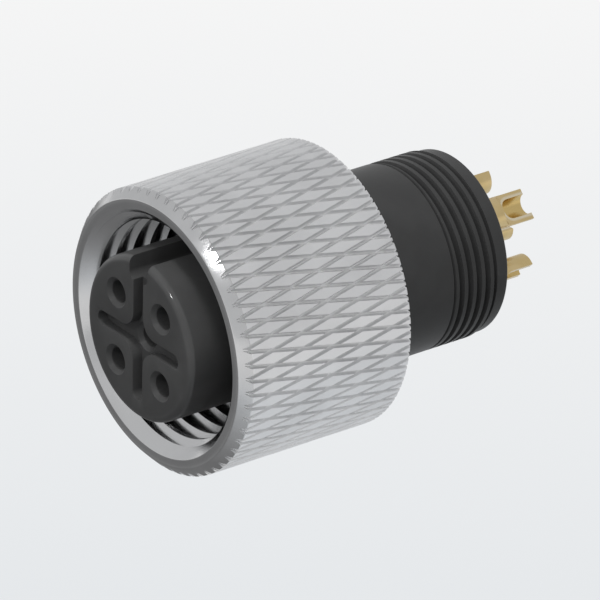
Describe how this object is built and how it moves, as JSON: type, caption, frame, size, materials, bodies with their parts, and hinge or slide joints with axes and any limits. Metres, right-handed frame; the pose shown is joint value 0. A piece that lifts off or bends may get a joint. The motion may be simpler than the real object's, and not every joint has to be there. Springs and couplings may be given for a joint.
{
  "type": "circular connector",
  "caption": "Round cable connector: keyed socket plug in a freely turning knurled coupling nut, threaded barrel behind it and solder cups at the rear.",
  "frame": {"origin": "on the axis, in the plane of the plug's mating face", "axes": "+Y runs along the axis from the mating face to the solder cups; +Z points to the key slot; +X is to the right, seen from in front of the mating face"},
  "size_m": [0.0142, 0.022, 0.0142],
  "materials": {
    "nut_metal": "satin nickel plating over turned brass, with a pressed diamond knurl",
    "ring_steel": "bright spring steel",
    "seal_rubber": "soft black rubber",
    "carrier_plastic": "moulded black plastic, satin",
    "body_plastic": "moulded black plastic, satin",
    "contact_metal": "pale gold plating over turned brass"
  },
  "bodies": {
    "housing": {"contact_carrier": "carrier_plastic", "threaded_body": "body_plastic", "face_seal": "seal_rubber", "contact_1": "contact_metal", "contact_2": "contact_metal", "contact_3": "contact_metal", "contact_4": "contact_metal", "contact_5": "contact_metal"},
    "ring": {"retaining_ring": "ring_steel"},
    "nut": {"coupling_nut": "nut_metal"}
  },
  "joints": [
    {"name": "nut_slide", "type": "slide", "parent": "housing", "child": "ring", "axis": [0, -1, 0], "range_m": [0, 0.00115]},
    {"name": "nut_spin", "type": "hinge", "parent": "ring", "child": "nut", "pos_m": [0, 0.00985, 0], "axis": [0, -1, 0], "continuous": true}
  ]
}
